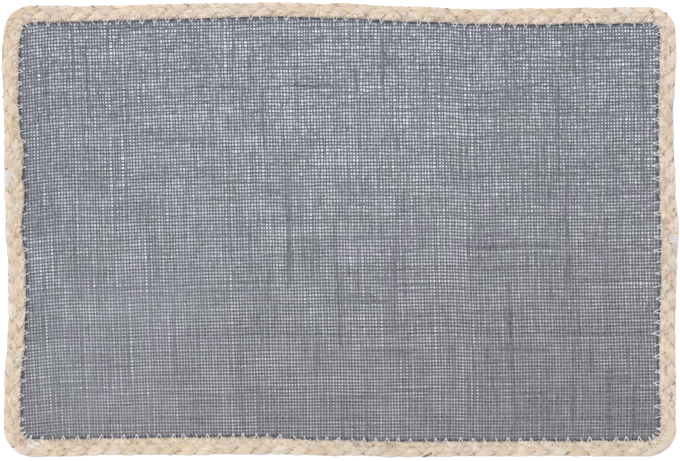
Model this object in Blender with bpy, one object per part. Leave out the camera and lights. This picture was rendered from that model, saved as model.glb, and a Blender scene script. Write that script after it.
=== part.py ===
"""Fabric placemat: an open-weave jute panel edged with two lengths of flat three-strand husk plait.

The mat lies flat, face up. +X runs along its long side, +Y across it, +Z out of its face.
The origin is on the surface that it lies on, under the middle of its outline.
"""
import bisect
import math

import bmesh
import bpy
import numpy as np

MM = 0.001

# Driving dimensions, in millimetres
MAT_LENGTH = 446.0          # mean outer length, without the edge's wander
MAT_WIDTH = 300.0           # mean outer width
CORNER_RADIUS = 18.0        # outer corners of the plait
PLAIT_HEIGHT = 4.7          # crown of a lobe above the table
LOBE_PITCH = 12.4           # from lobe to lobe along one edge of the plait
LOBE_DEPTH = 1.1            # how far the crease between two lobes lies below their crowns
LOBE_SCALLOP = 0.5          # how far the lobes stand out sideways from the creases, each way
CHEVRON_RUN = 9.3           # how far a strand travels while it crosses half the plait
LOBE_UNEVENNESS = 0.2       # share by which one lobe's relief differs from the mean
CLOTH_THICKNESS = 1.5
HEM_THICKNESS = 2.1         # two layers of cloth, pressed
HEM_WIDTH = 4.0
HEM_ROUND = 0.5             # the fold's rounding
HEM_STEP = 0.6              # how wide the step is from the hem down to the single cloth
SEAM_GAP = 0.3              # between pieces that are sewn edge to edge
JOIN_GAP = 0.3              # between the two plaits' ends
LEFT_JOIN_Y = 34.0          # where both plaits start, on the left side
RIGHT_JOIN_Y = -10.0        # where both plaits end, on the right side

# How each side of the border wanders. One row for each place measured along the side:
# (place along X or Y from the mat's middle, outer edge outside its mean line, width of the plait)
LEFT_SIDE = (
    (-125.0, 1.5, 11.9),
    (-100.0, 0.9, 11.5),
    (-75.0, -1.0, 11.9),
    (-50.0, -1.9, 11.8),
    (-25.0, -1.5, 12.2),
    (0.0, 0.3, 11.3),
    (25.0, 0.9, 14.0),
    (37.0, 1.0, 12.8),
    (51.0, 1.4, 14.2),
    (65.0, 1.2, 11.0),
    (88.0, 1.9, 10.4),
    (112.0, 2.6, 11.5),
)
TOP_SIDE = (
    (-200.0, -0.5, 11.0),
    (-150.0, -0.3, 10.2),
    (-100.0, 1.0, 10.1),
    (-50.0, 1.7, 9.6),
    (0.0, 1.0, 9.6),
    (50.0, -1.1, 10.3),
    (85.0, -2.7, 9.9),
    (125.0, -2.5, 10.6),
    (165.0, -1.8, 10.8),
    (200.0, -1.4, 10.8),
)
RIGHT_SIDE = (
    (125.0, 1.3, 11.6),
    (75.0, -0.6, 10.7),
    (25.0, 0.6, 11.4),
    (0.0, 2.6, 12.2),
    (-25.0, 1.6, 11.3),
    (-75.0, 0.6, 11.5),
    (-125.0, 1.3, 11.8),
)
BOTTOM_SIDE = (
    (200.0, 1.3, 11.2),
    (150.0, 1.0, 10.4),
    (100.0, 1.2, 10.6),
    (50.0, 1.7, 10.8),
    (0.0, 0.9, 10.8),
    (-60.0, -0.1, 12.0),
    (-100.0, 0.1, 11.9),
    (-150.0, 0.2, 11.5),
    (-200.0, 1.5, 12.1),
)

# The plait's cross-section. One row for each point, from the outer foot over the top to the inner foot:
# (place across, -1 at the inner edge to 1 at the outer; share of the full height; share of the lobe's relief)
SECTION = (
    (0.80, 0.00, 0.0),
    (1.00, 0.36, 0.3),
    (0.88, 0.76, 0.7),
    (0.56, 0.97, 1.0),
    (0.20, 0.98, 1.0),
    (0.00, 0.90, 0.4),
    (-0.20, 0.98, 1.0),
    (-0.56, 0.97, 1.0),
    (-0.88, 0.76, 0.7),
    (-1.00, 0.36, 0.3),
    (-0.80, 0.00, 0.0),
)

# One lobe in rows along the plait: 0 in the crease, 1 on the crown
LOBE_PROFILE = (0.0, 0.80, 1.0, 0.72)
ROWS_PER_LOBE = len(LOBE_PROFILE)

HALF_LENGTH = MAT_LENGTH / 2
HALF_WIDTH = MAT_WIDTH / 2
ARC = CORNER_RADIUS * math.pi / 2

# The mean outer line, clockwise from the left join, in straight runs and quarter turns:
# (length, start point, heading in degrees, whether it turns)
STRAIGHT_X = MAT_LENGTH - 2 * CORNER_RADIUS
STRAIGHT_Y = MAT_WIDTH - 2 * CORNER_RADIUS
LEFT_UP = HALF_WIDTH - CORNER_RADIUS - LEFT_JOIN_Y
OUTER_RUNS = (
    (LEFT_UP, (-HALF_LENGTH, LEFT_JOIN_Y), 90.0, False),
    (ARC, (-HALF_LENGTH, HALF_WIDTH - CORNER_RADIUS), 90.0, True),
    (STRAIGHT_X, (CORNER_RADIUS - HALF_LENGTH, HALF_WIDTH), 0.0, False),
    (ARC, (HALF_LENGTH - CORNER_RADIUS, HALF_WIDTH), 0.0, True),
    (STRAIGHT_Y, (HALF_LENGTH, HALF_WIDTH - CORNER_RADIUS), -90.0, False),
    (ARC, (HALF_LENGTH, CORNER_RADIUS - HALF_WIDTH), -90.0, True),
    (STRAIGHT_X, (HALF_LENGTH - CORNER_RADIUS, -HALF_WIDTH), 180.0, False),
    (ARC, (CORNER_RADIUS - HALF_LENGTH, -HALF_WIDTH), 180.0, True),
    (STRAIGHT_Y - LEFT_UP, (-HALF_LENGTH, CORNER_RADIUS - HALF_WIDTH), 90.0, False),
)
RUN_STARTS = [sum(run[0] for run in OUTER_RUNS[:i]) for i in range(len(OUTER_RUNS))]
PERIMETER = RUN_STARTS[-1] + OUTER_RUNS[-1][0]


def clear_scene():
    for item in list(bpy.data.objects):
        bpy.data.objects.remove(item, do_unlink=True)


def mean_line(distance):
    """Point and outward normal of the mean outer line, clockwise from the left join."""
    distance = distance % PERIMETER
    index = bisect.bisect_right(RUN_STARTS, distance) - 1
    _, start, heading, turns = OUTER_RUNS[index]
    along = distance - RUN_STARTS[index]
    angle = math.radians(heading)
    normal = (-math.sin(angle), math.cos(angle))
    if not turns:
        return (start[0] + along * math.cos(angle), start[1] + along * math.sin(angle)), normal
    centre = (start[0] - CORNER_RADIUS * normal[0], start[1] - CORNER_RADIUS * normal[1])
    angle -= along / CORNER_RADIUS
    normal = (-math.sin(angle), math.cos(angle))
    return (centre[0] + CORNER_RADIUS * normal[0], centre[1] + CORNER_RADIUS * normal[1]), normal


def edge_stations():
    """Every row of the four side tables as (distance clockwise from the left join, outer edge, width)."""
    rows = []
    for side, run, axis, sign in (
        (LEFT_SIDE, 0, 1, 1),
        (TOP_SIDE, 2, 0, 1),
        (RIGHT_SIDE, 4, 1, -1),
        (BOTTOM_SIDE, 6, 0, -1),
    ):
        start = RUN_STARTS[run] - sign * OUTER_RUNS[run][1][axis]
        rows += [((start + sign * place) % PERIMETER, outer, width) for place, outer, width in side]
    rows.sort()
    return rows


STATIONS = edge_stations()


def edge(distance):
    """Outer edge's offset and the plait's width, eased between the stations on both sides."""
    distance = distance % PERIMETER
    after = bisect.bisect_right([row[0] for row in STATIONS], distance) % len(STATIONS)
    low = STATIONS[after - 1]
    high = STATIONS[after]
    share = ((distance - low[0]) % PERIMETER) / ((high[0] - low[0]) % PERIMETER)
    ease = share * share * (3 - 2 * share)
    return low[1] + ease * (high[1] - low[1]), low[2] + ease * (high[2] - low[2])


def border_point(distance, across, outward=0.0):
    """A point of the border in plan. across is -1 at its inner edge and 1 at its outer edge."""
    point, normal = mean_line(distance)
    outer, width = edge(distance)
    offset = outer - width * (1 - across) / 2 + outward
    return point[0] + offset * normal[0], point[1] + offset * normal[1]


def finish_object(name, mesh_data, material):
    bmesh.ops.recalc_face_normals(mesh_data, faces=mesh_data.faces)
    mesh = bpy.data.meshes.new(name)
    mesh_data.to_mesh(mesh)
    mesh_data.free()
    mesh.materials.append(material)
    item = bpy.data.objects.new(name, mesh)
    bpy.context.scene.collection.objects.link(item)
    return item


def matt_material(name, colour, roughness):
    material = bpy.data.materials.new(name)
    material.use_nodes = True
    shader = material.node_tree.nodes["Principled BSDF"]
    shader.inputs["Base Color"].default_value = (*colour, 1.0)
    shader.inputs["Roughness"].default_value = roughness
    shader.inputs["Metallic"].default_value = 0.0
    return material


def add_ring(mesh_data, points):
    return [mesh_data.verts.new([value * MM for value in point]) for point in points]


def bridge(mesh_data, ring, other):
    """Quads between two closed rings of as many points."""
    for i, vert in enumerate(ring):
        j = (i + 1) % len(ring)
        mesh_data.faces.new((vert, ring[j], other[j], other[i]))


def plait(name, start, length, direction, material):
    """One length of plait.

    Its rows are swept back towards both edges, so that a crease runs along one row from the middle
    to an edge. The lobes of the two edges alternate. Both ends are cut square.
    """
    lobes = round(length / LOBE_PITCH)
    rows = lobes * ROWS_PER_LOBE
    step = length / rows
    spread = (1 - LOBE_UNEVENNESS, 1 + LOBE_UNEVENNESS)
    uneven = np.random.default_rng(lobes).uniform(*spread, (lobes + 2, 2))
    mesh_data = bmesh.new()
    rings = []
    for row in range(rows + 1):
        travel = row * step
        sweep = min(CHEVRON_RUN, travel / 2, length - travel)
        points = []
        for across, height, relief in SECTION:
            inner = across < 0
            phase = row + (ROWS_PER_LOBE // 2 if inner else 0)
            lobe = LOBE_PROFILE[phase % ROWS_PER_LOBE]
            amount = uneven[phase // ROWS_PER_LOBE, int(inner)]
            if across == 0:
                other_side = LOBE_PROFILE[(row + ROWS_PER_LOBE // 2) % ROWS_PER_LOBE]
                lobe = (lobe + other_side) / 2
            distance = start + direction * (travel - sweep * abs(across))
            scallop = LOBE_SCALLOP * amount * (2 * lobe - 1) * across ** 2
            if inner:
                scallop = -min(0.0, scallop)
            x, y = border_point(distance, across, scallop)
            z = PLAIT_HEIGHT * height - LOBE_DEPTH * amount * relief * (1 - lobe)
            points.append((x, y, max(z, 0.0)))
        rings.append(add_ring(mesh_data, points))
    for ring, other in zip(rings, rings[1:]):
        bridge(mesh_data, ring, other)
    mesh_data.faces.new(rings[0])
    mesh_data.faces.new(rings[-1])
    return finish_object(name, mesh_data, material)


def cloth_panel(material):
    """The woven panel: flat underneath, with a low step on its face where its edge is turned under."""
    count = 2 * round(PERIMETER / LOBE_PITCH)
    rings = (
        (SEAM_GAP, 0.0),
        (SEAM_GAP, HEM_THICKNESS - HEM_ROUND),
        (SEAM_GAP + HEM_ROUND, HEM_THICKNESS),
        (SEAM_GAP + HEM_WIDTH, HEM_THICKNESS),
        (SEAM_GAP + HEM_WIDTH + HEM_STEP, CLOTH_THICKNESS),
    )
    mesh_data = bmesh.new()
    built = []
    for inset, z in rings:
        points = []
        for i in range(count):
            x, y = border_point(i * PERIMETER / count, -1.0, -inset)
            points.append((x, y, z))
        built.append(add_ring(mesh_data, points))
    for ring, other in zip(built, built[1:]):
        bridge(mesh_data, ring, other)
    mesh_data.faces.new(built[0])
    mesh_data.faces.new(built[-1])
    return finish_object("cloth_panel", mesh_data, material)


clear_scene()
upper_length = sum(run[0] for run in OUTER_RUNS[:4]) + HALF_WIDTH - CORNER_RADIUS - RIGHT_JOIN_Y
lower_length = PERIMETER - upper_length
jute = matt_material("grey_jute", (0.23, 0.23, 0.26), 0.9)
upper_husk = matt_material("cream_husk_upper", (0.72, 0.60, 0.46), 0.6)
lower_husk = matt_material("cream_husk_lower", (0.70, 0.58, 0.45), 0.6)
cloth_panel(jute)
half_gap = JOIN_GAP / 2
plait("upper_plait", half_gap, upper_length - JOIN_GAP, 1, upper_husk)
plait("lower_plait", -half_gap, lower_length - JOIN_GAP, -1, lower_husk)
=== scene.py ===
import bpy
import numpy as np
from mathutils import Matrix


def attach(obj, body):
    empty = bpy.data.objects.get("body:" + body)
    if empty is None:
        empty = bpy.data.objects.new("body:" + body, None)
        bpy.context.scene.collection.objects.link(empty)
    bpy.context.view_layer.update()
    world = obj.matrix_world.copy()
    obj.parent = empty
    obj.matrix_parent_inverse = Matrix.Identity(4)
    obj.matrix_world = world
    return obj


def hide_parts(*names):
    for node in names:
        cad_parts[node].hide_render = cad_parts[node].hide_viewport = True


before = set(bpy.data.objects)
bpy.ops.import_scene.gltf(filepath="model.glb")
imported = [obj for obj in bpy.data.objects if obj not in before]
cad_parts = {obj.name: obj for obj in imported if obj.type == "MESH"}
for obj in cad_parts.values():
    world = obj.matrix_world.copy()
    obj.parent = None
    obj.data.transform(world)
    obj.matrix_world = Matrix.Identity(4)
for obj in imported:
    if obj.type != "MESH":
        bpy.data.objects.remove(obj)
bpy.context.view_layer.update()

MM = 0.001
rng = np.random.default_rng(446)

# ----------------------------------------------------------------------
# The view. The mat lies on a pale table and is seen from straight above, as wide as the photo shows it, in
# soft light from the upper left. The table glows a little, so that it stays white through the weave.

PHOTO_WIDTH = 680                 # pixels
MM_PER_PIXEL = 2 / 3              # on the plait's crowns
SENSOR = 36.0
VIEW_HEIGHT = 1203.0              # of the camera above the table
CROWN_HEIGHT = 3.0

camera_data = bpy.data.cameras.new("camera")
camera_data.sensor_width = SENSOR
camera_data.lens = SENSOR * (VIEW_HEIGHT - CROWN_HEIGHT) / (PHOTO_WIDTH * MM_PER_PIXEL)
camera = bpy.data.objects.new("camera", camera_data)
camera.location = (0.0, -MM_PER_PIXEL * MM, VIEW_HEIGHT * MM)
bpy.context.scene.collection.objects.link(camera)
bpy.context.scene.camera = camera
bpy.context.scene.view_settings.view_transform = "Standard"


def hex_colour(code):
    """An sRGB colour such as "d9c9b7" as linear red, green, blue and a full alpha."""
    srgb = np.array([int(code[i:i + 2], 16) for i in (0, 2, 4)]) / 255
    linear = np.where(srgb <= 0.04045, srgb / 12.92, ((srgb + 0.055) / 1.055) ** 2.4)
    return (*linear.tolist(), 1.0)


def add_node(tree, kind, inputs=(), **settings):
    """A node of the tree with its settings. inputs are (socket, value or the output that feeds it)."""
    node = tree.nodes.new(kind)
    for name, value in settings.items():
        setattr(node, name, value)
    for socket, value in inputs:
        if isinstance(value, bpy.types.NodeSocket):
            tree.links.new(value, node.inputs[socket])
        else:
            node.inputs[socket].default_value = value
    return node


def new_material(name):
    """An empty node material and its tree."""
    material = bpy.data.materials.new(name)
    material.use_nodes = True
    material.node_tree.nodes.clear()
    return material, material.node_tree


def finish_material(tree, inputs):
    """The Principled shader and the output, fed by the inputs."""
    shader = add_node(tree, "ShaderNodeBsdfPrincipled", inputs)
    add_node(tree, "ShaderNodeOutputMaterial", [("Surface", shader.outputs["BSDF"])])


TABLE_SIZE = 3.0                  # metres from the middle to each side
UNDER_MAT = 0.0001                # metres, so that the table and the mat's underside don't share a plane
table_mesh = bpy.data.meshes.new("table")
table_corners = [(-1, -1), (1, -1), (1, 1), (-1, 1)]
table_points = [(TABLE_SIZE * x, TABLE_SIZE * y, -UNDER_MAT) for x, y in table_corners]
table_mesh.from_pydata(table_points, [], [(0, 1, 2, 3)])
table = bpy.data.objects.new("table", table_mesh)
bpy.context.scene.collection.objects.link(table)
table_paint, tree = new_material("white_matt_laminate")
finish_material(tree, [
    ("Base Color", hex_colour("f4f4f5")),
    ("Roughness", 0.7),
    ("Emission Color", hex_colour("f1f4ff")),
    ("Emission Strength", 0.34),
])
table_mesh.materials.append(table_paint)

world = bpy.data.worlds.new("white_room")
world.use_nodes = True
world.node_tree.nodes["Background"].inputs["Color"].default_value = hex_colour("f6f8ff")
world.node_tree.nodes["Background"].inputs["Strength"].default_value = 0.55
bpy.context.scene.world = world

KEY_LIGHT = ((-1.7, 1.7, 6.0), 3.2, 268.0)      # place and size in metres, watts
key_data = bpy.data.lights.new("soft_key", "AREA")
key_data.shape = "DISK"
key_data.size = KEY_LIGHT[1]
key_data.energy = KEY_LIGHT[2]
key = bpy.data.objects.new("soft_key", key_data)
key.location = KEY_LIGHT[0]
key.rotation_euler = (-key.location).to_track_quat("-Z", "Y").to_euler()
bpy.context.scene.collection.objects.link(key)

# ----------------------------------------------------------------------
# The border's line. A maker lays the plait by eye round the panel, so each side wanders by a millimetre or
# two. The fold, both plaits and the seam follow this line. It is the solids' own, but the plait is up to a
# millimetre narrower, as its hollows between the lobes are open here.

MAT_LENGTH = 446.0
MAT_WIDTH = 300.0
CORNER_RADIUS = 18.0
LEFT_JOIN_Y = 34.0                # where both plaits start
RIGHT_JOIN_Y = -10.0              # where both end

# (place along X or Y from the mat's middle, outer edge outside its mean line, width of the plait)
LEFT_SIDE = (
    (-125, 1.5, 11.3), (-100, 0.9, 10.9), (-75, -1.0, 11.3), (-50, -1.9, 11.2), (-25, -1.5, 11.6),
    (0, 0.3, 10.7), (25, 0.9, 13.4), (37, 1.0, 12.2), (51, 1.4, 13.6), (65, 1.2, 10.6), (88, 1.9, 10.0),
    (112, 2.6, 11.1),
)
TOP_SIDE = (
    (-200, -0.5, 11.0), (-150, -0.3, 10.2), (-100, 1.0, 10.1), (-50, 1.7, 9.6), (0, 1.0, 9.6),
    (50, -1.1, 10.3), (85, -2.7, 9.9), (125, -2.5, 10.6), (165, -1.8, 10.8), (200, -1.4, 10.8),
)
RIGHT_SIDE = (
    (125, 1.3, 10.8), (75, -0.6, 9.9), (25, 0.6, 10.6), (0, 2.6, 11.2), (-25, 1.6, 10.3),
    (-75, 0.6, 10.5), (-125, 1.3, 10.8),
)
BOTTOM_SIDE = (
    (200, 1.3, 10.3), (150, 1.0, 9.5), (100, 1.2, 9.7), (50, 1.7, 9.9), (0, 0.9, 10.0), (-60, -0.1, 11.2),
    (-100, 0.1, 11.1), (-150, 0.2, 10.7), (-200, 1.5, 11.3),
)

HALF_LENGTH = MAT_LENGTH / 2
HALF_WIDTH = MAT_WIDTH / 2
ARC = CORNER_RADIUS * np.pi / 2
STRAIGHT_X = MAT_LENGTH - 2 * CORNER_RADIUS
STRAIGHT_Y = MAT_WIDTH - 2 * CORNER_RADIUS
LEFT_UP = STRAIGHT_Y / 2 - LEFT_JOIN_Y

# Clockwise from the left join: (length, start x, start y, heading in degrees, whether it turns)
border_runs = np.array([
    (LEFT_UP, -HALF_LENGTH, LEFT_JOIN_Y, 90.0, 0),
    (ARC, -HALF_LENGTH, STRAIGHT_Y / 2, 90.0, 1),
    (STRAIGHT_X, -STRAIGHT_X / 2, HALF_WIDTH, 0.0, 0),
    (ARC, STRAIGHT_X / 2, HALF_WIDTH, 0.0, 1),
    (STRAIGHT_Y, HALF_LENGTH, STRAIGHT_Y / 2, -90.0, 0),
    (ARC, HALF_LENGTH, -STRAIGHT_Y / 2, -90.0, 1),
    (STRAIGHT_X, STRAIGHT_X / 2, -HALF_WIDTH, 180.0, 0),
    (ARC, -STRAIGHT_X / 2, -HALF_WIDTH, 180.0, 1),
    (STRAIGHT_Y - LEFT_UP, -HALF_LENGTH, -STRAIGHT_Y / 2, 90.0, 0),
])
run_starts = np.cumsum(border_runs[:, 0]) - border_runs[:, 0]
PERIMETER = border_runs[:, 0].sum()
TOP_AT = run_starts[2] + STRAIGHT_X / 2          # the distances of the sides' middles
RIGHT_AT = run_starts[4] + STRAIGHT_Y / 2
BOTTOM_AT = run_starts[6] + STRAIGHT_X / 2
UPPER_LENGTH = RIGHT_AT - RIGHT_JOIN_Y


def smooth_step(value):
    """0 below 0, 1 above 1, and 3t^2 - 2t^3 between."""
    value = np.clip(value, 0.0, 1.0)
    return value * value * (3 - 2 * value)


def mean_line(distance):
    """Points and outward normals of the mean outer line, a rectangle with quarter-circle corners."""
    distance = np.mod(distance, PERIMETER)
    run = np.searchsorted(run_starts, distance, side="right") - 1
    _, start_x, start_y, heading, turns = np.moveaxis(border_runs[run], -1, 0)
    along = distance - run_starts[run]
    first = np.radians(heading)
    now = first - turns * along / CORNER_RADIUS
    start = np.stack([start_x, start_y], -1)
    first_normal = np.stack([-np.sin(first), np.cos(first)], -1)
    normal = np.stack([-np.sin(now), np.cos(now)], -1)
    ahead = np.stack([np.cos(first), np.sin(first)], -1)
    straight = start + along[..., None] * ahead
    turned = start + CORNER_RADIUS * (normal - first_normal)
    return np.where(turns[..., None] > 0, turned, straight), normal


def side_rows(rows, run, axis, sign):
    """A side's rows with their places turned into distances clockwise from the left join."""
    rows = np.array(rows)
    rows[:, 0] = np.mod(run_starts[run] + sign * (rows[:, 0] - border_runs[run, 1 + axis]), PERIMETER)
    return rows


edge_rows = np.concatenate([
    side_rows(LEFT_SIDE, 0, 1, 1),
    side_rows(TOP_SIDE, 2, 0, 1),
    side_rows(RIGHT_SIDE, 4, 1, -1),
    side_rows(BOTTOM_SIDE, 6, 0, -1),
])
edge_rows = edge_rows[np.argsort(edge_rows[:, 0])]


def edge(distance):
    """Outer edge's offset and the plait's width, eased by smooth_step between the rows on both sides."""
    distance = np.mod(distance, PERIMETER)
    after = np.searchsorted(edge_rows[:, 0], distance, side="right") % len(edge_rows)
    low, high = edge_rows[after - 1], edge_rows[after]
    share = np.mod(distance - low[..., 0], PERIMETER) / np.mod(high[..., 0] - low[..., 0], PERIMETER)
    ease = smooth_step(share)
    return low[..., 1] + ease * (high - low)[..., 1], low[..., 2] + ease * (high - low)[..., 2]


def border_point(distance, across, outward=0.0):
    """Plan points of the border. across is -1 at its inner edge and 1 at its outer; outward is in mm."""
    point, normal = mean_line(distance)
    outer, width = edge(distance)
    return point + (outer - width * (1 - across) / 2 + outward)[..., None] * normal


# ----------------------------------------------------------------------
# The cloth. Grey-dyed jute yarns, about a millimetre thick, are woven one over, one under, so openly that
# the table shows through. Thick and thin places in the yarns make its dark and light streaks.

WARP_PITCH = 1.95                 # across the mat's length; these yarns run up the photo
WEFT_PITCH = 2.25
WARP_WIDTH = 1.13
WEFT_WIDTH = 1.27
YARN_HEIGHT = 0.84                # a yarn pressed flat
CRIMP = 0.40                      # how far a yarn swings above and below the cloth's middle
CLOTH_MIDDLE = CRIMP + YARN_HEIGHT / 2 + 0.01
YARN_SIDES = 5
FOLD_TUCK = 0.7                   # how far the folded edge reaches under the plait's rounded side
UNEVEN_PLACE = 0.08               # how far a crossing strays from its yarns' lines
SPARE_REACH = 9.0                 # the leaning weave starts this far outside the folds and is cut there
RIPPLE = 0.04
HEM_LIFT = 0.62                   # the cloth's middle rises by this over its turned-under edge
HEM_WIDTH = 3.4
HEM_SLOPE = 2.5
UNDER_REACH = (0.0, 1.5, 3.1)     # how far inside the fold each of a yarn's last stations lies
UNDER_HEIGHT = (0.92, 0.42, 0.40)
NEAREST_FOLD = 0.55 * WARP_PITCH  # a yarn's stations end this far before the fold
TURNING_REACH = 2.6 * WEFT_PITCH  # and it turns under where its last one lies this near


def wander(yarns, places, waves):
    """Each yarn's smooth wander: sines of each (length, size), with the yarn's own phase and strength."""
    total = np.zeros((yarns, len(places)))
    for length, size in waves:
        own_length = length * rng.uniform(0.75, 1.3, (yarns, 1))
        phase = rng.uniform(0, 2 * np.pi, (yarns, 1))
        total += rng.normal(0, size, (yarns, 1)) * np.sin(2 * np.pi * places / own_length + phase)
    return total


def yarn_rests(places, pitch):
    """Where yarns rest across the places: halfway through each whole step of the summed-up 1 / pitch."""
    number = np.cumsum((places[1] - places[0]) / pitch)
    return np.interp(np.arange(int(number[-1])) + 0.5, number, places)


# The fold's mean places on the left, right, bottom and top
x, y = np.linspace(-200, 200, 401), np.linspace(-130, 130, 261)
folds_at = ((y - LEFT_JOIN_Y, 0), (RIGHT_AT - y, 0), (BOTTOM_AT - x, 1), (TOP_AT + x, 1))
low_x, high_x, low_y, high_y = (
    border_point(distance, -1.0, FOLD_TUCK)[..., axis].mean() for distance, axis in folds_at)
across_mat = np.linspace(low_x - SPARE_REACH, high_x + SPARE_REACH, 2000)
up_mat = np.linspace(low_y - SPARE_REACH, high_y + SPARE_REACH, 2000)
warp_pitch = WARP_PITCH + 0.03 * np.exp(-((across_mat - 25) / 50) ** 2)
warp_pitch += 0.09 * smooth_step((across_mat - 130) / 80)
weft_pitch = WEFT_PITCH - 0.11 * smooth_step((-55 - up_mat) / 50) - 0.05 * smooth_step((up_mat - 40) / 60)
warp_rest = yarn_rests(across_mat, warp_pitch)
weft_rest = yarn_rests(up_mat, weft_pitch)
WARPS = len(warp_rest)
WEFTS = len(weft_rest)

# The weave lies a little askew. The warp leans left on its way up: (y, degrees at left, middle and right)
WARP_LEAN = (
    (-135, 2.7, 0.3, -1.6), (-105, 2.8, 0.9, 0.4), (-85, 2.5, 1.7, 2.2), (-47, 2.7, 1.9, 2.2),
    (7, 1.6, 1.2, 0.3), (60, 1.2, 1.5, 0.5), (115, 1.7, 0.7, 0.8),
)
# The weft climbs to the right: (x, degrees at bottom, middle and top)
WEFT_CLIMB = (
    (-212, 5.5, 6.5, 9.0), (-198, 5.5, 6.0, 7.0), (-180, 0.5, 1.5, 1.5), (-160, -0.3, -0.2, 0.5),
    (-140, 2.5, 3.2, 3.0), (-120, 0.2, 0.3, 2.3), (-100, 1.2, 2.5, 2.0), (-80, 0.0, 0.4, 0.6),
    (-60, 1.7, 1.8, 2.1), (-40, 0.0, -0.8, -0.4), (-20, 1.1, 1.6, 1.7), (0, -0.7, -0.4, 0.2),
    (40, 1.2, 0.6, -0.4), (62, 0.7, 1.0, 0.4), (81, -2.2, -3.4, -4.6), (100, 0.4, 1.6, 2.2),
    (120, 1.5, 1.1, 0.4), (140, -0.3, -1.0, -1.0), (160, 0.8, 0.7, 1.7), (180, 0.7, 1.3, 1.2),
)


def askew(rows, along, beside, reach):
    """Sideways shift of yarns from their lean: the slope is added up along them, from the middle outwards.

    Between the three columns the lean follows the parabola through them. It gives (beside, along).
    """
    place, *columns = np.array(rows).T
    low, middle, high = (np.tan(np.radians(np.interp(along, place, column))) for column in columns)
    share = (beside / reach)[:, None]
    slope = middle + (high - low) / 2 * share + ((high + low) / 2 - middle) * share ** 2
    total = np.cumsum((slope[:, 1:] + slope[:, :-1]) / 2 * np.diff(along), axis=1)
    total = np.pad(total, ((0, 0), (1, 0)))
    return total - total[:, [np.abs(along).argmin()]]


# The crossings' places, with a row for each warp yarn and a column for each weft yarn
WANDER_WAVES = ((26.0, 0.05), (70.0, 0.1), (190.0, 0.13))
unevenness = 1.25 + 0.85 * weft_rest / 120    # the cloth is less even towards the top
cross_x = warp_rest[:, None] + wander(WARPS, weft_rest, WANDER_WAVES)
strays = rng.normal(0, UNEVEN_PLACE, cross_x.shape) * unevenness
cross_x += strays - askew(WARP_LEAN, weft_rest, warp_rest, 175.0)
cross_y = weft_rest[None, :] + wander(WEFTS, warp_rest, WANDER_WAVES).T
strays = rng.normal(0, UNEVEN_PLACE, cross_y.shape) * unevenness
cross_y += strays + askew(WEFT_CLIMB, warp_rest, weft_rest, 110.0).T

# The thick places that show most: (x of the warp yarn, from y, to y, how much thicker), and for the weft
# (y, from x, to x, how much thicker)
WARP_SLUBS = (
    (-209, 26, 42, 0.34), (-209, 124, 136, 0.41), (-203, 22, 68, 0.34), (-196, -45, -29, 0.41),
    (-170, 80, 124, 0.34), (-123, 104, 136, 0.61), (-117, 24, 53, 0.34), (-64, 52, 95, 0.54),
    (-51, 54, 92, 0.61), (-37, -40, 70, 0.22), (-34, -36, 36, 0.55), (-29, 80, 118, 0.47),
    (-5, -25, 8, 0.41), (0, -78, -20, 0.47), (11, -42, -10, 0.34), (27, -19, 6, 0.41),
    (29, 84, 125, 0.68), (36, -66, -11, 0.47), (43, 11, 27, 0.35), (80, 35, 60, 0.41),
    (75, -110, -78, 0.41), (101, 94, 135, 0.41), (105, -116, -85, 0.41), (113, -92, -36, 0.54),
    (117, -136, -101, 0.41), (135, -126, -100, 0.41), (147, 30, 98, 0.47), (150, 111, 136, 0.47),
    (151, -42, 27, 0.61), (156, -130, -80, 0.41), (164, 92, 136, 0.41), (179, -136, -94, 0.68),
    (195, -135, -105, 0.61), (203, 30, 114, 0.41),
)
WEFT_SLUBS = (
    (-125, -107, -61, 0.2), (-81, 13, 49, 0.35), (-79, 104, 136, 0.5), (-70, 151, 185, 0.2),
    (-57, 75, 117, 0.2), (-42, -95, -60, 0.3), (-28, -6, 12, 0.35), (-10, 79, 145, 0.4),
    (0, 43, 73, 0.2), (16, -39, -21, 0.3), (22, 165, 194, 0.4), (23, 8, 45, 0.3),
    (31, -100, -40, 0.25), (63, 100, 135, 0.2), (76, 93, 187, 0.2), (81, 82, 105, 0.35),
    (96, -107, -65, 0.25), (97, -29, 2, 0.45), (106, -136, -100, 0.3), (112, -18, 12, 0.25),
    (124, -42, -6, 0.3), (124, 85, 138, 0.2), (130, -69, -43, 0.4), (134, -168, -129, 0.3),
)
UNEVEN_WIDTH = 0.075              # from one crossing to the next, as a share
FEW_SLUBS = 0.5                   # small ones, for each yarn


def yarn_thickness(lines, places, slubs, uneven, local):
    """Yarns' widths as shares of the mean: own sizes and waves, bell-shaped small slubs and the named ones.

    lines has a row for each yarn: how far to the side it lies at each of the places along it. uneven scales
    its own size and waves, and local what changes from one crossing to the next.
    """
    yarns = len(lines)
    waves = ((9.0, 0.045 * uneven), (24.0, 0.075 * uneven), (70.0, 0.09 * uneven))
    share = np.exp(rng.normal(0, 0.055 * uneven, (yarns, 1))) + wander(yarns, places, waves)
    small = int(yarns * FEW_SLUBS)
    yarn = rng.integers(0, yarns, small)
    middle = rng.uniform(places[0], places[-1], (small, 1))
    half = rng.uniform(4, 13, (small, 1))
    np.add.at(share, yarn, rng.uniform(0.1, 0.4, (small, 1)) * np.exp(-((places - middle) / half) ** 2))
    place, low, high, gain = np.array(slubs, float).T[:, :, None]
    middle = np.abs(places - (low + high) / 2).argmin(1)
    yarn = np.abs(lines[:, middle] - place.T).argmin(0)
    inside = smooth_step((places - low) / 6 + 0.5) * smooth_step((high - places) / 6 + 0.5)
    np.add.at(share, yarn, gain * inside)
    share += rng.normal(0, UNEVEN_WIDTH, share.shape) * local
    return np.clip(share, 0.62, 1.75)


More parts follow.
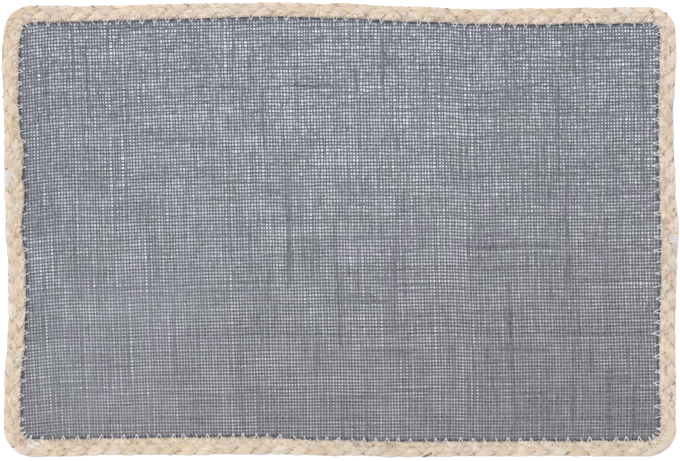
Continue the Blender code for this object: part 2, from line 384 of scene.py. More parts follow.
# The cloth is closer towards the bottom and the right, and in blotches a few centimetres wide.
BLOTCHES = 40
blotch_length = rng.uniform(16, 60, (BLOTCHES, 1, 1))
blotch_way = rng.uniform(0, 2 * np.pi, (2, BLOTCHES, 1, 1))
blotch_place = np.cos(blotch_way[0]) * warp_rest[:, None] + np.sin(blotch_way[0]) * weft_rest
blotches = 0.008 * np.sin(2 * np.pi * blotch_place / blotch_length + blotch_way[1]).sum(0)
closeness = 1 - 0.085 * weft_rest / 120 + 0.05 * smooth_step((warp_rest[:, None] - 60) / 90) + blotches
closeness += 0.08 * warp_rest[:, None] / 200 * smooth_step((60 - weft_rest) / 190)
closeness += 0.05 * smooth_step((20 - weft_rest) / 100)


def hill(x, y, reach_x, reach_y):
    """A smooth hill of height 1 over the cloth's lattice, as the bell curve exp(-distance^2)."""
    return np.exp(-((warp_rest[:, None] - x) / reach_x) ** 2 - ((weft_rest - y) / reach_y) ** 2)


# It is more open left of the middle, and three patches at the lower left have paler yarns close together.
closeness -= 0.065 * hill(-55, 62, 105, 75) + 0.03 * hill(-175, -70, 45, 60)
closeness += 0.035 * hill(185, 22, 55, 70) + 0.015 * hill(50, 10, 80, 55)
closeness += 0.035 * hill(-125, -120, 50, 20)
pale_patches = 1.4 * hill(-130, -50, 45, 24) + hill(-145, -112, 50, 24) + 0.7 * hill(-185, -85, 26, 42)
pale_patches += 0.25 * hill(10, -15, 170, 70)
closeness += 0.045 * pale_patches
warp_share = yarn_thickness(cross_x, weft_rest, WARP_SLUBS, 0.62, unevenness) * closeness
weft_share = yarn_thickness(cross_y.T, warp_rest, WEFT_SLUBS, 0.4, unevenness[:, None]).T * closeness


def fold_beside(places, first_run, last_run, axis):
    """Where the fold passes beside each place, read from one run of the border to another."""
    end = PERIMETER * (first_run > last_run) + run_starts[last_run] + ARC
    line = border_point(np.linspace(run_starts[first_run], end, 1200), -1.0, FOLD_TUCK)
    order = np.argsort(line[:, axis])
    return np.interp(places, line[order, axis], line[order, 1 - axis])


top_fold = fold_beside(cross_x, 1, 3, 0)
bottom_fold = fold_beside(cross_x, 5, 7, 0)
left_fold = fold_beside(cross_y, 7, 1, 1)
right_fold = fold_beside(cross_y, 3, 5, 1)
to_side = np.minimum(cross_x - left_fold, right_fold - cross_x)
to_end = np.minimum(cross_y - bottom_fold, top_fold - cross_y)
to_edge = np.minimum(to_side, to_end)
# The cloth's middle lies level, with faint ripples, and is higher over the hem.
ripple = 2 + np.sin(cross_x / 17 + 1.3 * np.sin(cross_y / 31))
ripple += np.sin(cross_y / 13 + 1.1 * np.sin(cross_x / 37))
on_hem = smooth_step((HEM_WIDTH + HEM_SLOPE - to_edge) / HEM_SLOPE)
middle_z = CLOTH_MIDDLE + RIPPLE * ripple + HEM_LIFT * on_hem
over = np.where((np.arange(WARPS)[:, None] + np.arange(WEFTS)) % 2 == 0, 1.0, -1.0)


def turned_under(low, high, within, along, beside, height, share, *others):
    """Yarns with their ends turned under: stations past the fold go back inside, and the rest is dropped.

    All have a row for each yarn. low and high are the folds that its ends meet, and within says which
    stations haven't left the cloth sideways. It gives the stations to keep, and the others with spare ones.
    """
    spare = len(UNDER_REACH)
    low, high, along, beside, height, share, *others = (
        np.pad(values, ((0, 0), (spare, spare)), "edge")
        for values in (low, high, along, beside, height, share, *others))
    inner = (along > low + NEAREST_FOLD) & (along < high - NEAREST_FOLD)
    inner &= np.pad(within, ((0, 0), (spare, spare)))
    station = np.arange(along.shape[1])
    first = inner.argmax(1)[:, None]
    last = along.shape[1] - 1 - inner[:, ::-1].argmax(1)[:, None]
    low = np.take_along_axis(low, first, 1)
    high = np.take_along_axis(high, last, 1)
    low_turns = np.take_along_axis(along, first, 1) - low < TURNING_REACH
    high_turns = high - np.take_along_axis(along, last, 1) < TURNING_REACH
    keep = (station >= first - spare * low_turns) & (station <= last + spare * high_turns)
    keep &= inner.any(1)[:, None]
    for past, fold, inward, end in ((first - station, low, 1, first), (station - last, high, -1, last)):
        outside = past > 0
        step = np.clip(past - 1, 0, spare - 1)
        reach = np.array(UNDER_REACH)[step] + np.maximum(past - spare, 0)
        along = np.where(outside, fold + inward * reach, along)
        height = np.where(outside, np.array(UNDER_HEIGHT)[step], height)
        beside = np.where(outside, np.take_along_axis(beside, end, 1), beside)
        share = np.where(outside, np.take_along_axis(share, end, 1), share)
    return keep, along, beside, height, share, *others


BAKE_MAP = "OFBake"               # one strip of the map for each tube, so that the export keeps its colours
MAP_PAD = 0.08


def add_tone(mesh, name, values):
    """Store a value for each point of the mesh, for its material to read."""
    mesh.attributes.new(name, "FLOAT", "POINT").data.foreach_set("value", values.ravel().astype(np.float32))


def oval(sides, half_width, half_height, start=0.0):
    """Corners of oval sections: how far across and how high each lies, from half their width and height."""
    turn = 2 * np.pi * np.arange(sides) / sides + start
    return np.multiply.outer(half_width, np.cos(turn)), np.multiply.outer(half_height, np.sin(turn))


def tube_mesh(name, centres, side, across, rise, keep=None, strip=None, columns=1, tones=(), round_it=3.0):
    """Closed tubes: a section carried along each row of centres.

    centres and side are (tubes, stations, 3), across and rise (tubes, stations, corners). A corner lies at
    centre + side * across + up * rise, with up at right angles to side and to the tube. keep says which
    stations exist, and strip how many of them a strip of the bake map holds. tones are point values by
    name, and may leave out their last axes. The map "along" holds millimetres along and around the tube.
    """
    tubes, stations, corners = across.shape
    up = np.cross(side, np.gradient(centres, axis=1))
    up /= np.maximum(np.linalg.norm(up, axis=-1, keepdims=True), 1e-12)
    points = centres[:, :, None] + side[:, :, None] * across[..., None] + up[:, :, None] * rise[..., None]
    keep = np.ones((tubes, stations), bool) if keep is None else keep
    number = (np.cumsum(keep) - 1).reshape(keep.shape)
    joined = keep[:, :-1] & keep[:, 1:]
    tube, station = np.nonzero(joined)
    corner = np.arange(corners)
    following = (corner + 1) % corners
    first = number[:, :-1][joined][:, None] * corners
    second = number[:, 1:][joined][:, None] * corners
    quads = np.stack([first + corner, second + corner, second + following, first + following], -1)
    starts = keep.copy()
    starts[:, 1:] &= ~keep[:, :-1]
    ends = keep.copy()
    ends[:, :-1] &= ~keep[:, 1:]
    start_caps = number[starts][:, None] * corners + corner
    end_caps = number[ends][:, None] * corners + corner[::-1]

    def quad_map(low, high, around):
        """Map places of the quads' corners, from a value at each of their ends and one for the turn."""
        u = np.stack([low, high, high, low], -1)[:, None] + np.zeros((1, corners, 1))
        v = np.stack([corner, corner, corner + 1, corner + 1], -1)[None] * around / corners
        return u, v + np.zeros(u.shape)

    strip = strip or stations - 1
    strips = -(-(stations - 1) // strip)
    rows = -(-tubes * strips // columns)
    cell = tube * strips + station // strip
    low_u = (station % strip) / strip
    u, v = quad_map(low_u, low_u + 1 / strip, 1.0)
    u = (cell % columns)[:, None, None] + MAP_PAD / 4 + (1 - MAP_PAD / 2) * u
    v = (cell // columns)[:, None, None] + MAP_PAD + (1 - 2 * MAP_PAD) * v
    turn = 2 * np.pi * corner / corners
    cap_cells = np.concatenate([np.nonzero(starts)[0], np.nonzero(ends)[0]]) * strips
    cap_u = (cap_cells % columns)[:, None] + 0.5 + 0.2 * np.cos(turn)
    cap_v = (cap_cells // columns)[:, None] + MAP_PAD * (0.5 + 0.4 * np.sin(turn))
    bake = [np.stack([u / columns, v / rows], -1), np.stack([cap_u / columns, cap_v / rows], -1)]
    length = np.zeros((tubes, stations))
    length[:, 1:] = np.cumsum(np.linalg.norm(np.diff(centres, axis=1), axis=-1), axis=1)
    u, v = quad_map(length[:, :-1][joined], length[:, 1:][joined], round_it)
    along = [np.stack([u, v], -1), np.zeros((2 * len(start_caps) * corners, 2))]

    mesh = bpy.data.meshes.new(name)
    faces = [quads.reshape(-1, 4), start_caps, end_caps]
    sizes = np.concatenate([np.full(len(group), group.shape[1]) for group in faces])
    face_corners = np.concatenate([group.ravel() for group in faces])
    kept_points = points[keep].reshape(-1, 3) * MM
    mesh.vertices.add(len(kept_points))
    mesh.vertices.foreach_set("co", kept_points.ravel())
    mesh.loops.add(len(face_corners))
    mesh.loops.foreach_set("vertex_index", face_corners)
    mesh.polygons.add(len(sizes))
    mesh.polygons.foreach_set("loop_start", np.cumsum(sizes) - sizes)
    mesh.update(calc_edges=True)
    for map_name, parts in ((BAKE_MAP, bake), ("along", along)):
        places = np.concatenate([part.ravel() for part in parts])
        mesh.uv_layers.new(name=map_name).data.foreach_set("uv", places)
    for tone_name, values in tones:
        values = np.reshape(values, np.shape(values) + (1,) * (3 - np.ndim(values)))
        add_tone(mesh, tone_name, np.broadcast_to(values, (tubes, stations, corners))[keep])
    mesh.shade_smooth()
    return mesh, points


def new_piece(name, mesh, material, slot, *nodes):
    """The mesh as a piece that rides on the mat, with the material, and stands for the CAD nodes. slot is
    not used.
    """
    piece = bpy.data.objects.new(name, mesh)
    bpy.context.scene.collection.objects.link(piece)
    mesh.materials.append(material)
    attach(piece, "root")
    if nodes:
        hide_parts(*nodes)
    return piece


def flat_side(plan):
    """Level unit vectors at right angles to each path's direction."""
    ahead = np.gradient(plan, axis=1)
    side = np.stack([ahead[..., 1], -ahead[..., 0], np.zeros(ahead.shape[:2])], -1)
    return side / np.linalg.norm(side, axis=-1, keepdims=True)


def lay_tubes(name, plan, height, section, *piece, **mesh_settings):
    """Tubes along paths in plan at the given heights, made into a piece. It gives their points."""
    centres = np.concatenate([plan, height[..., None]], -1)
    mesh, points = tube_mesh(name, centres, flat_side(plan), *section, **mesh_settings)
    new_piece(name, mesh, *piece)
    return points


def object_place(tree):
    """Places on the piece, in metres."""
    return add_node(tree, "ShaderNodeTexCoord").outputs["Object"]


def tube_place(tree):
    """Places along and around the tubes, from the map named "along"."""
    return add_node(tree, "ShaderNodeUVMap", uv_map="along").outputs["UV"]


def noise(tree, vector, scale, detail, roughness):
    """A noise texture's value, with its vector fed by an output."""
    return add_node(tree, "ShaderNodeTexNoise", [
        ("Vector", vector), ("Scale", scale), ("Detail", detail), ("Roughness", roughness)]).outputs["Fac"]


def remap(tree, value, low, high, to_low, to_high):
    """The value carried over from one range to another, and held at the ends."""
    return add_node(tree, "ShaderNodeMapRange", [
        ("Value", value), ("From Min", low), ("From Max", high), ("To Min", to_low),
        ("To Max", to_high)]).outputs["Result"]


def mix(tree, share, first, second, blend="MIX"):
    """Two colours mixed by the share, each of them an output or an sRGB code."""
    first, second = (hex_colour(end) if isinstance(end, str) else end for end in (first, second))
    return add_node(tree, "ShaderNodeMixRGB", [
        ("Fac", share), ("Color1", first), ("Color2", second)], blend_type=blend).outputs["Color"]


def maths(tree, operation, *values):
    """The operation's result, with each value a number or an output."""
    return add_node(tree, "ShaderNodeMath", enumerate(values), operation=operation).outputs["Value"]


def mapped(tree, vector, scale, shift=(0.0, 0.0, 0.0), turn=0.0):
    """The vector scaled, turned about Z and shifted."""
    return add_node(tree, "ShaderNodeMapping", [
        ("Vector", vector), ("Scale", scale), ("Location", shift),
        ("Rotation", (0.0, 0.0, turn))]).outputs["Vector"]


def relief(tree, height, strength, distance):
    """A normal that shows the height as a fine relief, distance metres deep."""
    return add_node(tree, "ShaderNodeBump", [
        ("Height", height), ("Strength", strength), ("Distance", distance)]).outputs["Normal"]


def point_value(tree, name):
    """The piece's own point value of that name."""
    return add_node(tree, "ShaderNodeAttribute", attribute_name=name).outputs["Fac"]


# Dyed jute: matt, with a little fuzz. The dye takes unevenly, so yarns differ in grey, and fibres show as
# fine lines along the twist. Light comes through a yarn, but not where two cross: this is painted in, with
# crossings painted darker.
# It is bluer towards the top and greener where its painted shade is deepest, along the folded edge, and
# some patches look more violet.
jute, tree = new_material("grey_dyed_jute")
place = object_place(tree)
along_map = tube_place(tree)
own_tone = point_value(tree, "yarn_tone")
patch_share = remap(tree, noise(tree, place, 34.0, 2.0, 0.6), 0.4, 0.6, 0.0, 1.0)
cool_hue = mix(tree, patch_share, "797f86", "7c7e89")
plain_hue = mix(tree, patch_share, "818284", "828187")
towards_top = add_node(tree, "ShaderNodeVectorMath", [
    (0, place), (1, (-0.22, 1.0, 0.0))], operation="DOT_PRODUCT")
up_share = remap(tree, towards_top.outputs["Value"], -0.1, 0.13, 0.0, 1.0)
# Greener where the tone is painted darkest, in the painted shade along the folded edge.
shadow_green_share = remap(tree, own_tone, -0.6, -0.25, 0.7, 0.0)
hue = mix(tree, shadow_green_share, mix(tree, up_share, plain_hue, cool_hue), "78827c")
dye = noise(tree, place, 260.0, 3.0, 0.65)
fibres = noise(tree, mapped(tree, along_map, (0.9, 5.0, 1.0), turn=0.16), 1.6, 4.0, 0.7)
tone = maths(tree, "MULTIPLY_ADD", dye, 0.55, own_tone)
tone = maths(tree, "MULTIPLY_ADD", fibres, 0.45, tone)
# Painted shade: each yarn is darker at its crossings, where light doesn't pass two yarns, most towards the
# bottom.
crossing_wave = maths(tree, "COSINE", maths(tree, "MULTIPLY", point_value(tree, "crossing"), 2 * np.pi))
crossing_painted_shade = remap(tree, up_share, 0.0, 1.0, -0.42, -0.12)
tone = maths(tree, "MULTIPLY_ADD", crossing_wave, crossing_painted_shade, tone)
finish_material(tree, [
    ("Base Color", mix(tree, 1.0, hue, remap(tree, tone, -0.5, 1.0, 0.18, 1.36), "MULTIPLY")),
    ("Roughness", 0.88),
    ("IOR", 1.5),
    ("Specular IOR Level", 0.25),
    ("Sheen Weight", 0.12),
    ("Sheen Roughness", 0.6),
    ("Normal", relief(tree, fibres, 0.6, 0.00012)),
])

# The plait's shadow on the yarns beside the fold is painted in: painted shade, darker between the stitches.
PAINTED_PLAIT_SHADOW = 0.3                 # of the yarns beside the fold
MARGIN_FROM = 2.0                 # inside the fold, where that begins to fade
MARGIN_FADE = 1.6
STITCHES = round(PERIMETER / 8.0)
STITCH_PITCH = PERIMETER / STITCHES


def yarn_set(name, mean_width, axis, low, high, within, along, beside, height, share, margin, pale):
    """Yarns side by side, from (yarns, stations) arrays. axis is 1 for yarns along Y and 0 along X.

    A slub makes a yarn's oval section wider more than it makes it higher. Its tone differs from its
    neighbours', drifts along it and changes a little from crossing to crossing. margin is how far each
    station lies from the fold, where the plait's shadow is painted onto the yarns, darker between the
    stitches.
    """
    tone = rng.normal(0.0, 0.09, (len(along), 1)) + rng.normal(0.0, 0.11, along.shape)
    tone += wander(len(along), along.mean(0), ((45.0, 0.09),))
    margin = margin + 0.45 * np.cos(2 * np.pi * (along + beside) / STITCH_PITCH)
    keep, along, beside, height, share, margin, pale, tone = turned_under(
        low, high, within, along, beside, height, share, margin, pale, tone)
    plan = (beside, along) if axis == 1 else (along, beside)
    centres = np.stack([*plan, height], -1)
    side = np.zeros(centres.shape)
    side[..., 1 - axis] = 1.0 if axis == 1 else -1.0
    section = oval(YARN_SIDES, mean_width / 2 * share, YARN_HEIGHT / 2 * share ** 0.35, np.pi / 2)
    tone = tone - 0.16 * (share - 1) + 0.24 * pale
    # Painted shade: the plait's shadow on the yarns beside the fold.
    tone = tone - PAINTED_PLAIT_SHADOW * (1 - smooth_step((margin - MARGIN_FROM) / MARGIN_FADE))
    tones = [("yarn_tone", tone), ("crossing", [np.arange(along.shape[1])])]
    mesh, _ = tube_mesh(name, centres, side, *section, keep, tones=tones)
    return new_piece(name, mesh, jute, "jute_cloth", "cloth_panel")


def two_halves(names, mean_width, axis, arrays):
    """A set of yarns as two pieces, from arrays with a row for each yarn."""
    half = len(arrays[0]) // 2
    parts = (slice(0, half), slice(half, None))
    return [
        yarn_set(name, mean_width, axis, *(values[part] for values in arrays))
        for name, part in zip(names, parts)]


warp_pieces = two_halves(("warp_left", "warp_right"), WARP_WIDTH, 1, (
    bottom_fold, top_fold, to_side > -0.5, cross_y, cross_x, middle_z + CRIMP * over, warp_share, to_edge,
    pale_patches))
weft_pieces = two_halves(("weft_bottom", "weft_top"), WEFT_WIDTH, 0, [values.T for values in (
    left_fold, right_fold, to_end > -0.5, cross_x, cross_y, middle_z - CRIMP * over, weft_share, to_edge,
    pale_patches)])

# The cut edge is turned under all round. Its last yarn lies beside the fold, under the cloth. Its tone is
# painted darker, as painted shade under the cloth and beside the plait, most on the right.
HEM_INSET = 1.15                  # inside the fold line
HEM_SCALLOP = 0.4                 # how far it bulges between the stitches
HEM_YARN_WIDTH = 1.15
HEM_STEP = 1.6
hem_distance = np.linspace(0, PERIMETER, round(PERIMETER / HEM_STEP) + 1)
hem_offset = FOLD_TUCK - HEM_INSET + wander(1, hem_distance, ((14.0, 0.1), (45.0, 0.15)))
hem_offset += HEM_SCALLOP * np.cos(2 * np.pi * hem_distance / STITCH_PITCH)
hem_height = 0.66 + 0.2 * np.cos(np.pi * np.arange(len(hem_distance)) + HEM_INSET)
hem_share = 1 + wander(1, hem_distance, ((9.0, 0.08), (33.0, 0.08)))
on_right = (hem_distance > run_starts[4]) & (hem_distance < run_starts[5])
# Painted shade: the hem yarn's tone is darker, most on the right.
lay_tubes(
    "turned_hem", border_point(hem_distance[None], -1.0, hem_offset), hem_height[None],
    oval(YARN_SIDES, HEM_YARN_WIDTH / 2 * hem_share, YARN_HEIGHT / 2 * hem_share, np.pi / 2),
    jute, "jute_cloth", "cloth_panel",
    strip=90, tones=[("yarn_tone", [np.where(on_right, -0.7, -0.3)]), ("crossing", 0.25)])

# ----------------------------------------------------------------------
# The plait. Each length is three flat strands of folded, dried maize husk, plaited flat. A strand comes in
# from an edge over its neighbour, dives under at the middle and turns back at the other edge.

LOBE_PITCH = 12.4                 # from lobe to lobe along one edge
STRAND_WIDTH = 6.6
STRAND_HEIGHT = 2.1
STRAND_SWING = 0.78               # how far a strand's middle rises above and sinks below the plait's middle
PLAIT_MIDDLE = 2.30
STRAND_CORNERS = 32
PLAIT_STEP = 1.25
JOIN_GAP = 0.3
SWING_DWELL = 0.15
END_TAPER = 5.0
FOLDS = 4                         # sharp ones along each husk
FOLD_DEPTH = 0.22
INNER_FLATNESS = 0.3

# Torn leaf ends spread like fans from the seam: (distance, radius, paleness)
FANS = (
    (TOP_AT + 45.3, 7.2, 0.95),
    (TOP_AT + 64.0, 4.8, 0.5),
    (TOP_AT + 81.3, 5.6, 0.65),
    (RIGHT_AT - 3.7, 5.6, 0.4),
    (BOTTOM_AT - 13.3, 6.0, 0.5),
    (BOTTOM_AT - 33.3, 5.0, 0.5),
)

# Leaves that stand out: (x, y, place on the leaf colours' ramp)
NAMED_LEAVES = (
    (45, 142.0, 0.60), (-210, 51.5, 0.60), (-213, 120.0, 0.60), (-208.5, -141.0, 0.86), (216, -8.0, 0.60),
    (220, 96.0, 0.05), (219, 72.0, 0.78), (-203, 146.0, 0.78), (-222, 100.0, 0.72), (120, 140.5, 0.78),
    (8, -147.0, 0.70),
)
cosine, sine = oval(STRAND_CORNERS, 1.0, 1.0)
flat_across = np.sign(cosine) * np.abs(cosine) ** 0.9
flat_rise = np.sign(sine) * np.abs(sine) ** 0.46


def husk_folds(lobes):
    """Relief of each lobe's section corners: sharp lengthwise folds, and low waves between them."""
    folds = rng.normal(0, 0.25, (lobes, STRAND_CORNERS))
    for _ in range(FOLDS):
        groove = rng.integers(0, STRAND_CORNERS, lobes)
        folds[np.arange(lobes), groove] -= rng.uniform(0.4, 1.4, lobes)
    return folds


def plait(start, length, direction):
    """One length of plait, of three strands a third of a turn apart.

    A strand's middle swings across as sin(turn), and dwells at the edges by a little of sin(3 turn). It
    swings up and down as -sin(2 turn), less so at the inner edge.
    """
    stations = round(length / PLAIT_STEP) + 1
    travel = np.linspace(0, length, stations)[None]
    distance = start + direction * travel
    full_turn = 3 * length / round(length / LOBE_PITCH)
    strand = np.arange(3)[:, None]
    turn = 2 * np.pi * (travel / full_turn + strand / 3) + wander(3, travel[0], ((60.0, 0.06),))
    _, width = edge(distance)
    lobe = turn / np.pi - 0.25
    number = np.floor(lobe).astype(int)
    lobes = number.max() + 2
    blend = smooth_step((lobe - number - 0.8) / 0.2)

    def of_lobe(values):
        """Values of each strand's lobe, eased into the next one where the strand is hidden."""
        share = blend.reshape(blend.shape + (1,) * (values.ndim - 2))
        return values[strand, number] * (1 - share) + values[strand, number + 1] * share

    end = smooth_step(travel / END_TAPER) * smooth_step((length - travel) / END_TAPER)
    size = of_lobe(rng.normal(1.0, 0.06, (3, lobes))) * (0.75 + 0.25 * end)
    half_width = STRAND_WIDTH / 2 * size
    swing = (width / 2 - STRAND_WIDTH / 2) * of_lobe(rng.normal(1.0, 0.04, (3, lobes)))
    across = swing * (np.sin(turn) + SWING_DWELL * np.sin(3 * turn)) / (1 - SWING_DWELL) / (width / 2)
    plan = border_point(distance + np.zeros_like(turn), across)
    flatness = 1 - INNER_FLATNESS * smooth_step((-across - 0.1) / 0.5)
    height = PLAIT_MIDDLE - STRAND_SWING * np.sin(2 * turn) * (0.6 + 0.4 * end) * flatness
    centres = np.concatenate([plan, height[..., None]], -1)
    folds = of_lobe(np.stack([husk_folds(lobes) for _ in range(3)]))
    ragged = 1 + wander(6, travel[0], ((4.0, 0.03), (9.0, 0.03)))
    outline = np.where(flat_across > 0, ragged[:3, :, None], ragged[3:, :, None])
    section_across = half_width[..., None] * outline * flat_across
    section_rise = STRAND_HEIGHT / 2 * size[..., None] ** 0.5 * flat_rise
    section_rise = section_rise + FOLD_DEPTH * folds * flat_rise
    leaf = rng.uniform(0, 0.78, (3, lobes))
    for place_x, place_y, tone in NAMED_LEAVES:
        away = np.hypot(plan[..., 0] - place_x, plan[..., 1] - place_y) + 9 * (height < PLAIT_MIDDLE)
        nearest = np.unravel_index(away.argmin(), away.shape)
        if away[nearest] < 7:
            leaf[nearest[0], number[nearest]] = tone
    leaf_shade = rng.normal(0.5, 0.2, (3, lobes))
    tones = [("leaf", leaf[strand, number]), ("shade", leaf_shade[strand, number])]
    groove = np.maximum(-folds - 0.25, 0)
    own_across = across[..., None] - direction * section_across / (width[..., None] / 2)
    return centres, (section_across, section_rise), tones, groove, own_across


# Dried maize husk: a thin, ribbed leaf with a low satin sheen. It is cream, with pink, straw and greenish
# white leaves among it. Where it is creased and where a strand dives under another it is browner, partly a
# stain and partly painted shade. Its veins are fine ridges along the strand.
LEAF_COLOURS = (
    (0.0, "e7d6c9"), (0.12, "e5d1b5"), (0.24, "e7d5c5"), (0.38, "e1caa7"), (0.5, "eadcce"), (0.6, "e4d9c7"),
    (0.7, "e9d2c4"), (0.78, "dac1a1"), (0.86, "f0e8dc"), (1.0, "f4efe6"),
)
husk, tree = new_material("dried_maize_husk")
place = object_place(tree)
along_map = tube_place(tree)
brown_and_shade_tone = point_value(tree, "brown_and_shade")
streaks = noise(tree, mapped(tree, along_map, (0.04, 0.5, 1.0), (40.0, 9.0, 0.0)), 1.5, 3.0, 0.6)
leaf_place = maths(tree, "ADD", point_value(tree, "leaf"), remap(tree, streaks, 0.3, 0.7, -0.12, 0.12))
leaf_colour = add_node(tree, "ShaderNodeValToRGB", [("Fac", leaf_place)])
stops = leaf_colour.color_ramp.elements
while len(stops) < len(LEAF_COLOURS):
    stops.new(0.5)
for stop, (position, code) in zip(stops, LEAF_COLOURS):
    stop.position = position
    stop.color = hex_colour(code)
stains = noise(tree, place, 190.0, 3.0, 0.6)
colour = mix(tree, remap(tree, stains, 0.35, 0.7, 0.0, 0.42), leaf_colour.outputs["Color"], "d3bd99")
colour = mix(tree, point_value(tree, "pale"), colour, "f0e2d4")
veins = noise(tree, mapped(tree, along_map, (0.06, 0.85, 1.0)), 1.5, 5.0, 0.8)
colour = mix(tree, 1.0, colour, remap(tree, veins, 0.3, 0.7, 0.78, 1.14), "MULTIPLY")
colour = mix(tree, 1.0, colour, remap(tree, point_value(tree, "shade"), 0.0, 1.0, 0.9, 1.06), "MULTIPLY")
# Partly a brown stain, partly painted shade in the creases and under other strands.
colour = mix(tree, brown_and_shade_tone, colour, "84705a")
spots = remap(tree, noise(tree, place, 620.0, 2.0, 0.5), 0.6, 0.7, 0.0, 0.8)
near_crease = remap(tree, brown_and_shade_tone, 0.04, 0.3, 0.08, 1.0)
colour = mix(tree, maths(tree, "MULTIPLY", spots, near_crease), colour, "76624c")
finish_material(tree, [
    ("Base Color", colour),
    ("Roughness", 0.55),
    ("IOR", 1.45),
    ("Specular IOR Level", 0.35),
    ("Normal", relief(tree, veins, 0.55, 0.0003)),
])

GRID_CELL = 0.6
GRID_EDGE = (-240.0, -165.0)
GRID_SIZE = (800, 550)


def grid_cells(points):
    """The cells of the height grid that points lie in, as its two indices."""
    cells = ((points[..., :2] - GRID_EDGE) / GRID_CELL).astype(int)
    return tuple(np.moveaxis(np.clip(cells, 1, np.array(GRID_SIZE) - 2), -1, 0))


def raise_grid(grid, points):
    """Raise the grid's cells to the highest point of a tube above them, in thirds between its stations."""
    for share in (0.0, 1 / 3, 2 / 3):
        between = points[:-1] * (1 - share) + points[1:] * share
        np.maximum.at(grid, grid_cells(between), between[..., 2])


def near_cells(grid):
    """The grid shifted to each of its eight neighbours and itself."""
    return np.stack([np.roll(grid, (i, j), (0, 1)) for i in (-1, 0, 1) for j in (-1, 0, 1)])


strand_grids = np.zeros((2, 3, *GRID_SIZE))
plait_parts = []
for grids, (name, node, start, length, direction) in zip(strand_grids, (
    ("upper_strands", "upper_plait", JOIN_GAP / 2, UPPER_LENGTH - JOIN_GAP, 1),
    ("lower_strands", "lower_plait", -JOIN_GAP / 2, PERIMETER - UPPER_LENGTH - JOIN_GAP, -1),
)):
    centres, section, tones, groove, own_across = plait(start, length, direction)
    side = flat_side(centres[..., :2])
    mesh, points = tube_mesh(name, centres, side, *section, strip=150, tones=tones, round_it=15.0)
    plait_parts.append((name, node, mesh, points, groove, own_across))
    for grid, strand_points in zip(grids, points):
        raise_grid(grid, strand_points)

top_grid = strand_grids.max((0, 1))
filled_grid = np.where(top_grid > 0, top_grid, near_cells(top_grid).max(0))
mean_grid = filled_grid
for _ in range(3):
    mean_grid = near_cells(mean_grid).mean(0)
for grids, (name, node, mesh, points, groove, own_across) in zip(strand_grids, plait_parts):
    cells = grid_cells(points)
    # Partly stain, partly painted shade: below the plait's mean top, beside a higher strand and in fold
    # grooves.
    depth = mean_grid[cells] - points[..., 2]
    others = np.stack([near_cells(np.delete(grids, i, 0).max(0)).max(0) for i in range(3)])
    beside = others[np.arange(3)[:, None, None], *cells]
    line = smooth_step((beside - points[..., 2] + 0.1) / 0.5)
    outer = 0.35 + 0.65 * smooth_step((own_across + 0.35) / 0.5)
    brown_and_shade = smooth_step((depth - 0.25) / 0.9) * 0.2 + (0.3 * line + 0.16 * groove) * outer
    right_side = smooth_step((points[..., 0] - 195) / 12)
    # Painted light: the top side's inner half, turned from the light, is painted paler with less painted
    # shade.
    top_inner_painted_light = smooth_step((points[..., 1] - 125) / 8) * smooth_step(-own_across / 0.4)
    # Painted light: the outer edge is painted paler and a little darker, for the soft grey edge light gives
    # it.
    outer_edge_painted_light = smooth_step((own_across - 0.62) / 0.3)
    pale = (0.4 + 0.3 * right_side) * smooth_step((-own_across - 0.5) / 0.35)
    pale += 0.5 * outer_edge_painted_light + 0.25 * top_inner_painted_light + 0.14 * right_side
    # The bottom side gets less painted shade.
    bottom_less_painted_shade = smooth_step((-125 - points[..., 1]) / 8)
    brown_and_shade = brown_and_shade * (1 - 0.4 * top_inner_painted_light) * (1 - 0.4 * bottom_less_painted_shade) + 0.05 * outer_edge_painted_light
    for distance, radius, paleness in FANS:
        away = np.linalg.norm(points[..., :2] - border_point(distance, -1.0), axis=-1)
        pale = np.maximum(pale, paleness * smooth_step((radius - away) / 1.5))
    add_tone(mesh, "brown_and_shade", np.clip(brown_and_shade, 0, 0.8))
    add_tone(mesh, "pale", pale)
    new_piece(name, mesh, husk, "husk_plait", node)


def surface_height(plan, least):
    """Height of the plait's top under each plan point, but not below least."""
    return np.maximum(filled_grid[grid_cells(plan)], least)


def husk_tones(leaf, shade, brown_and_shade, pale=0.0):
    """The four point values that the husk's material reads."""
    return [("leaf", leaf), ("shade", shade), ("brown_and_shade", brown_and_shade), ("pale", pale)]


def settled(height, rounds):
    """The heights along each path, evened out by averaging neighbours; the ends stay."""
    for _ in range(rounds):
        height[:, 1:-1] = (height[:, :-2] + height[:, 1:-1] + height[:, 2:]) / 3
    return height


